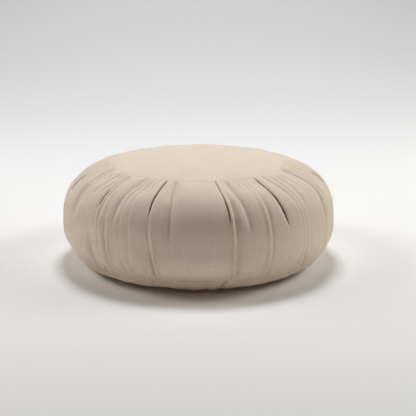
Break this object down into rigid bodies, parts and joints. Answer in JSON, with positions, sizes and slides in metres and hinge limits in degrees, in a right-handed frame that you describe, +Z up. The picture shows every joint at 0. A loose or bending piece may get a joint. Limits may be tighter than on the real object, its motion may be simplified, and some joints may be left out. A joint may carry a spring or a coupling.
{
  "type": "zafu meditation cushion",
  "caption": "Round, firmly filled meditation cushion in plain woven cloth, its side gathered in uneven tucks between a small round top panel and a wider round base panel.",
  "frame": {"origin": "on the floor under the middle of the cushion", "axes": "+Z up through the middle of the top panel, -Y towards the front with the widest smooth stretch of side, +X to the right seen from the front"},
  "size_m": [0.38, 0.3802, 0.145],
  "materials": {
    "cover_cloth": "matt, plain weave"
  },
  "bodies": {
    "root": {"gathered_side": "cover_cloth", "top_panel": "cover_cloth", "base_panel": "cover_cloth"}
  },
  "joints": []
}
